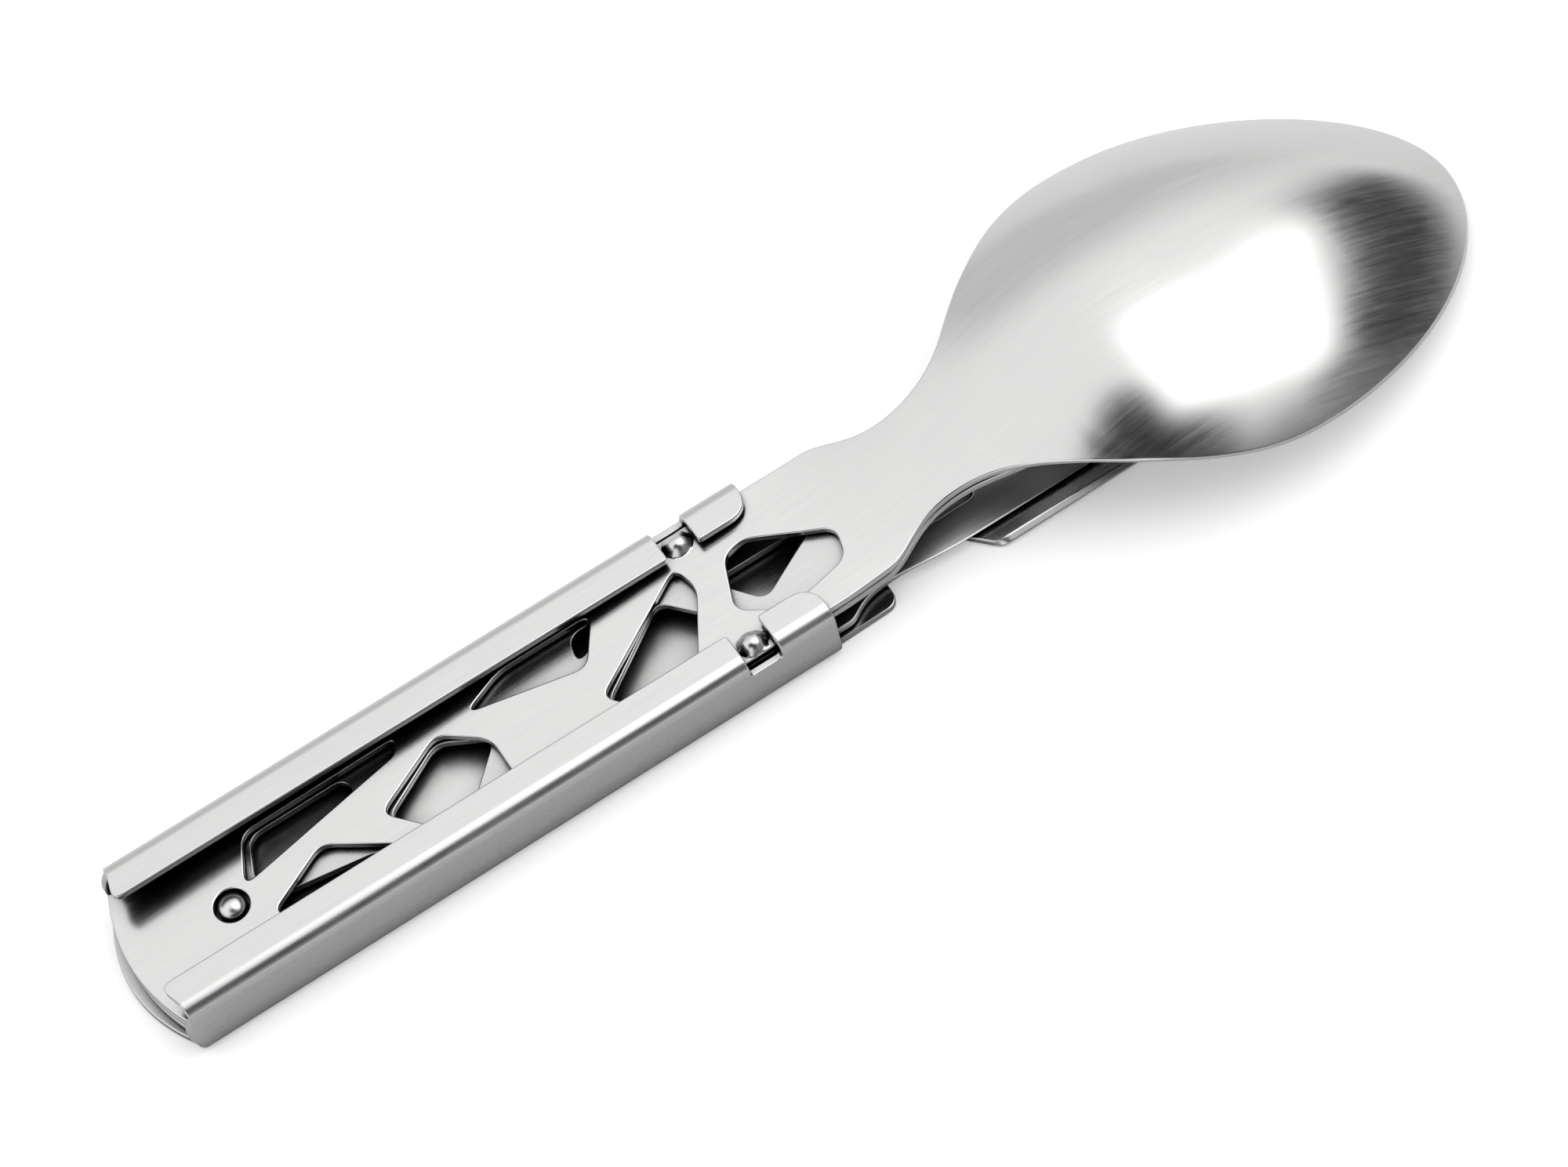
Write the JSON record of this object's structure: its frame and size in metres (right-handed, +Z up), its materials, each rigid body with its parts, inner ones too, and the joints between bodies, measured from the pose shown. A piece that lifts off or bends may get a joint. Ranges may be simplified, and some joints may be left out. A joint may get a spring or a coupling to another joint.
{
  "type": "nested picnic cutlery set",
  "caption": "Nested steel camping cutlery: spoon, fork and table knife held in the folded sleeve handle of a can and bottle opener.",
  "frame": {"origin": "centre of the whole set's box, at the height of the flat base that it lies on", "axes": "+X along the set towards the spoon's tip, +Y across it, +Z up out of the sleeve's open side"},
  "size_m": [0.185, 0.0482, 0.0187],
  "materials": {
    "sleeve_steel": "satin brushed lengthwise, folds slightly polished",
    "knife_steel": "satin brushed lengthwise",
    "fork_steel": "satin brushed lengthwise",
    "spoon_steel": "fine satin, brushed lengthwise on the handle and round the bowl",
    "stud_steel": "smooth domed rivet head"
  },
  "bodies": {
    "opener": {"can_opener_sleeve": "sleeve_steel"},
    "knife": {"table_knife": "knife_steel"},
    "fork": {"fork": "fork_steel", "locating_stud": "stud_steel"},
    "spoon": {"spoon": "spoon_steel"}
  },
  "joints": [
    {"name": "stack_slide", "type": "slide", "parent": "opener", "child": "knife", "axis": [1, 0, 0], "range_m": [0, 0.092]},
    {"name": "spoon_slide", "type": "slide", "parent": "knife", "child": "spoon", "axis": [1, 0, 0], "range_m": [0, 0.092]},
    {"name": "fork_slide", "type": "slide", "parent": "knife", "child": "fork", "axis": [1, 0, 0], "range_m": [0, 0.092]}
  ],
  "couplings": [
    {"joint": "fork_slide", "follows": "spoon_slide", "ratio": 1}
  ]
}
